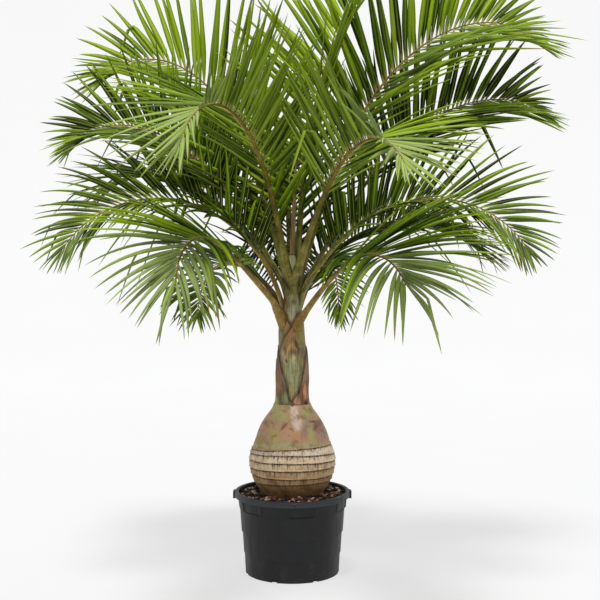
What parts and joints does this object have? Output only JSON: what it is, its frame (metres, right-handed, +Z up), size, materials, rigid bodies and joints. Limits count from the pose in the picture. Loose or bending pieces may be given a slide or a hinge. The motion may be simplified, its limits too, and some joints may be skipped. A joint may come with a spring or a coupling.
{
  "type": "potted bottle palm",
  "caption": "Bottle palm with a swollen ringed trunk, a rolled crownshaft and arching feather fronds, standing in a round black nursery pot filled with soil and bark",
  "frame": {"origin": "centre of the flat underside of the pot, on the floor", "axes": "+Z up along the trunk, -Y to the front as pictured, +X to the viewer's right"},
  "size_m": [1.8959, 1.9943, 2.3412],
  "materials": {
    "pot": "matt moulded black plastic",
    "soil": "loose damp potting soil",
    "bark": "rough bark chips",
    "trunk": "dry ringed bark, smooth above",
    "shaft": "waxy leaf sheaths",
    "spear": "closed young leaf",
    "frond": "satin green leaflets"
  },
  "bodies": {
    "root": {"pot": "pot", "potting_soil": "soil", "bark_mulch": "bark", "trunk": "trunk", "crownshaft": "shaft", "spear_leaf": "spear", "frond_left_high": "frond", "frond_right_high": "frond", "frond_top": "frond", "frond_right_middle": "frond", "frond_left_middle": "frond", "frond_front_left": "frond", "frond_front_right": "frond", "frond_left_low": "frond", "frond_right_low": "frond", "frond_front_left_low": "frond", "frond_front_right_low": "frond", "frond_back_left": "frond", "frond_back_right": "frond", "frond_back_middle": "frond", "frond_back_left_low": "frond", "frond_back_right_low": "frond"}
  },
  "joints": []
}
